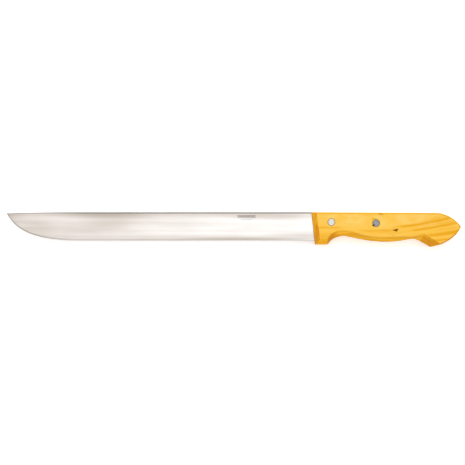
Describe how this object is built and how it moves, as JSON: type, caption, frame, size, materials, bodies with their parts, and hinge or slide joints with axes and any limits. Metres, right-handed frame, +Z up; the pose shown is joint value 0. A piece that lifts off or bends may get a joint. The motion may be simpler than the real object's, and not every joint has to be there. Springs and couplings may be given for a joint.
{
  "type": "uncapping knife",
  "caption": "Uncapping knife with a long straight ground blade, curved up to its tip, and a riveted wooden handle with a finger notch and a beaked butt.",
  "frame": {"origin": "midway between the two rivets, on the lower flat side of the handle, which lies on the surface", "axes": "+X from the blade's tip towards the butt, +Y from the cutting edge towards the spine, +Z up, through the thickness"},
  "size_m": [0.4168, 0.0318, 0.018],
  "materials": {
    "blade_steel": "satin, ground lengthwise",
    "handle_wood": "oiled, light golden wood with longitudinal grain",
    "front_rivet": "polished flush",
    "rear_rivet": "polished flush"
  },
  "bodies": {
    "root": {"blade": "blade_steel", "handle": "handle_wood", "front_rivet_tube": "front_rivet", "front_rivet_pin": "front_rivet", "rear_rivet_tube": "rear_rivet", "rear_rivet_pin": "rear_rivet"}
  },
  "joints": []
}
